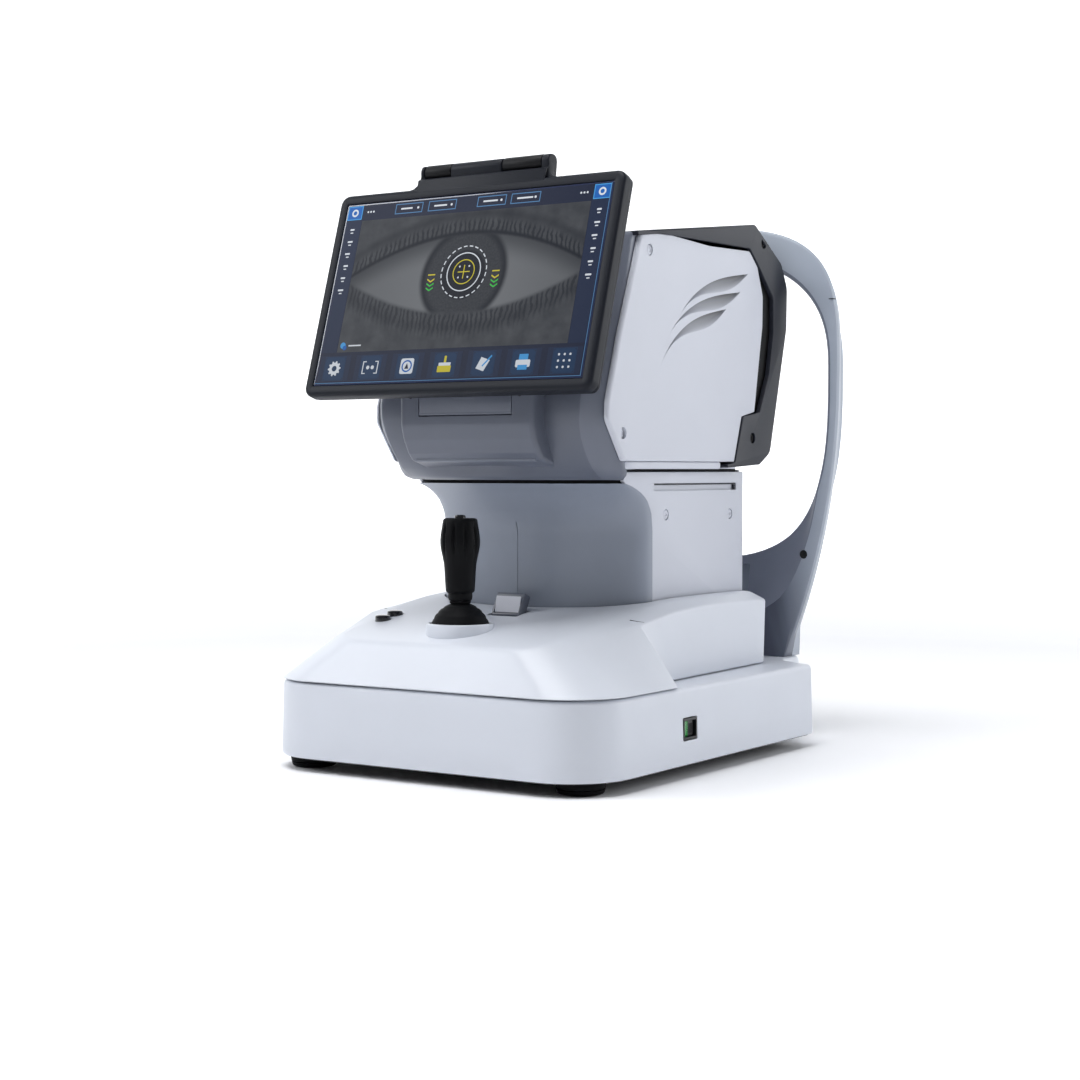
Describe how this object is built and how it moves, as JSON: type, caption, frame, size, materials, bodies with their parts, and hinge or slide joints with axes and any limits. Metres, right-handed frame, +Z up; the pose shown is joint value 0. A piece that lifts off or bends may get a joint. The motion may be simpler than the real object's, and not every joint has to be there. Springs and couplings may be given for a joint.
{
  "type": "autorefractor",
  "caption": "Table-top autorefractor: base, rolling stage with joystick, lifting neck and head, tilting touch screen, printer bay, and a headrest arch with chin and forehead rests.",
  "frame": {"origin": "on the table under the middle of the footprint", "axes": "+Z up, -Y towards the operator and the screen, +Y towards the patient and the arch, +X the side with the power switch"},
  "size_m": [0.28, 0.392, 0.4236],
  "materials": {
    "light_plastic": "satin moulded",
    "grey_plastic": "satin moulded",
    "charcoal_plastic": "fine texture",
    "black_plastic": "fine texture",
    "black_gloss": "glossy",
    "black_rubber": "matt",
    "green_plastic": "glossy, lit from behind",
    "steel": "ground",
    "aluminium": "brushed",
    "brass": "machined",
    "screw_steel": "plated",
    "circuit_board": "solder mask",
    "coated_glass": "coated",
    "paper": "smooth paper"
  },
  "bodies": {
    "base": {"base_tub": "light_plastic", "bottom_plate": "aluminium", "rubber_feet": "black_rubber", "rack_rails": "brass", "power_supply": "aluminium", "base_board": "circuit_board", "mains_inlet": "black_plastic", "switch_frame": "charcoal_plastic", "arch_front_shell": "grey_plastic", "arch_rear_shell": "grey_plastic", "arch_plugs": "black_plastic", "forehead_pad": "black_rubber", "chin_drive": "aluminium"},
    "rocker": {"power_rocker": "green_plastic"},
    "chin_rest": {"chin_post": "steel", "chin_cup": "light_plastic"},
    "cross_carriage": {"carriage_frame": "steel", "carriage_bushes": "brass"},
    "axle": {"axle_shaft": "steel", "axle_pinions": "brass"},
    "stage": {"cross_rods": "steel", "stage_chassis": "aluminium", "stage_cover": "light_plastic", "joystick_boss": "light_plastic", "lift_motor": "black_plastic", "lift_guides": "steel"},
    "lift_spindle": {"lift_screw": "steel"},
    "lever": {"lock_lever": "grey_plastic"},
    "up_button": {"chin_up_button": "black_plastic"},
    "down_button": {"chin_down_button": "black_plastic"},
    "gimbal": {"joystick_gimbal": "steel"},
    "stick": {"joystick_stick": "steel", "joystick_boot": "black_rubber"},
    "grip": {"joystick_grip": "black_rubber"},
    "trigger": {"joystick_trigger": "black_gloss"},
    "head": {"head_chassis": "grey_plastic", "lift_bushes": "brass", "lift_nut": "brass", "neck_front_shell": "grey_plastic", "neck_right_panel": "light_plastic", "neck_left_panel": "light_plastic", "neck_rear_panel": "light_plastic", "head_front_shell": "grey_plastic", "head_right_panel": "light_plastic", "head_left_panel": "light_plastic", "head_rear_frame": "charcoal_plastic", "window_ring": "black_plastic", "objective_lens": "coated_glass", "optics_tube": "black_gloss", "camera_module": "black_plastic", "head_board": "circuit_board", "cover_screws": "screw_steel", "hinge_arms": "black_gloss", "printer_frame": "black_plastic"},
    "roll": {"paper_roll": "paper"},
    "door": {"printer_door": "grey_plastic"},
    "screen": {"screen_bezel": "charcoal_plastic", "screen_back": "charcoal_plastic", "display_panel": "coated_glass", "hinge_pin": "steel"}
  },
  "joints": [
    {"name": "stage_fore_aft", "type": "slide", "parent": "base", "child": "cross_carriage", "axis": [0, 1, 0], "range_m": [-0.03, 0.005]},
    {"name": "axle_roll", "type": "hinge", "parent": "cross_carriage", "child": "axle", "pos_m": [0, 0.01, 0.0715], "axis": [1, 0, 0], "range_deg": [-60, 300]},
    {"name": "stage_sideways", "type": "slide", "parent": "cross_carriage", "child": "stage", "axis": [1, 0, 0], "range_m": [-0.043, 0.043]},
    {"name": "head_lift", "type": "slide", "parent": "stage", "child": "head", "axis": [0, 0, 1], "range_m": [-0.01, 0.015]},
    {"name": "lift_screw_turn", "type": "hinge", "parent": "stage", "child": "lift_spindle", "pos_m": [0, 0.06, 0.14], "axis": [0, 0, 1], "range_deg": [-720, 1080]},
    {"name": "lock_lever_swing", "type": "hinge", "parent": "stage", "child": "lever", "pos_m": [0.0065, -0.095, 0.1], "axis": [1, 0, 0], "range_deg": [0, 25]},
    {"name": "chin_up_press", "type": "slide", "parent": "stage", "child": "up_button", "axis": [0, 0, -1], "range_m": [0, 0.0012], "stiffness_N_per_m": 800},
    {"name": "chin_down_press", "type": "slide", "parent": "stage", "child": "down_button", "axis": [0, 0, -1], "range_m": [0, 0.0012], "stiffness_N_per_m": 800},
    {"name": "joystick_fore_aft", "type": "hinge", "parent": "stage", "child": "gimbal", "pos_m": [0, -0.144, 0.0978], "axis": [1, 0, 0], "range_deg": [-10, 10]},
    {"name": "joystick_sideways", "type": "hinge", "parent": "gimbal", "child": "stick", "pos_m": [0, -0.144, 0.0978], "axis": [0, 1, 0], "range_deg": [-10, 10]},
    {"name": "joystick_twist", "type": "hinge", "parent": "stick", "child": "grip", "pos_m": [0, -0.144, 0.15], "axis": [0, 0, 1], "range_deg": [-180, 270]},
    {"name": "trigger_press", "type": "slide", "parent": "grip", "child": "trigger", "axis": [0, 0, -1], "range_m": [0, 0.0015], "stiffness_N_per_m": 800},
    {"name": "screen_tilt", "type": "hinge", "parent": "head", "child": "screen", "pos_m": [0, -0.1133, 0.418], "axis": [-1, 0, 0], "range_deg": [0, 55]},
    {"name": "printer_door_swing", "type": "hinge", "parent": "head", "child": "door", "pos_m": [0, -0.1374, 0.248], "axis": [1, 0, 0], "range_deg": [0, 70]},
    {"name": "paper_roll_turn", "type": "hinge", "parent": "head", "child": "roll", "pos_m": [0, -0.09, 0.231], "axis": [1, 0, 0], "continuous": true},
    {"name": "rocker_tilt", "type": "hinge", "parent": "base", "child": "rocker", "pos_m": [0.135, -0.0705, 0.0335], "axis": [0, 0, -1], "range_deg": [0, 14]},
    {"name": "chin_lift", "type": "slide", "parent": "base", "child": "chin_rest", "axis": [0, 0, 1], "range_m": [-0.02, 0.03]}
  ],
  "couplings": [
    {"joint": "axle_roll", "follows": "stage_fore_aft", "rad_per_m": -166.67},
    {"joint": "lift_screw_turn", "follows": "head_lift", "rad_per_m": 1256.6},
    {"joint": "joystick_twist", "follows": "head_lift", "rad_per_m": 314.16}
  ]
}
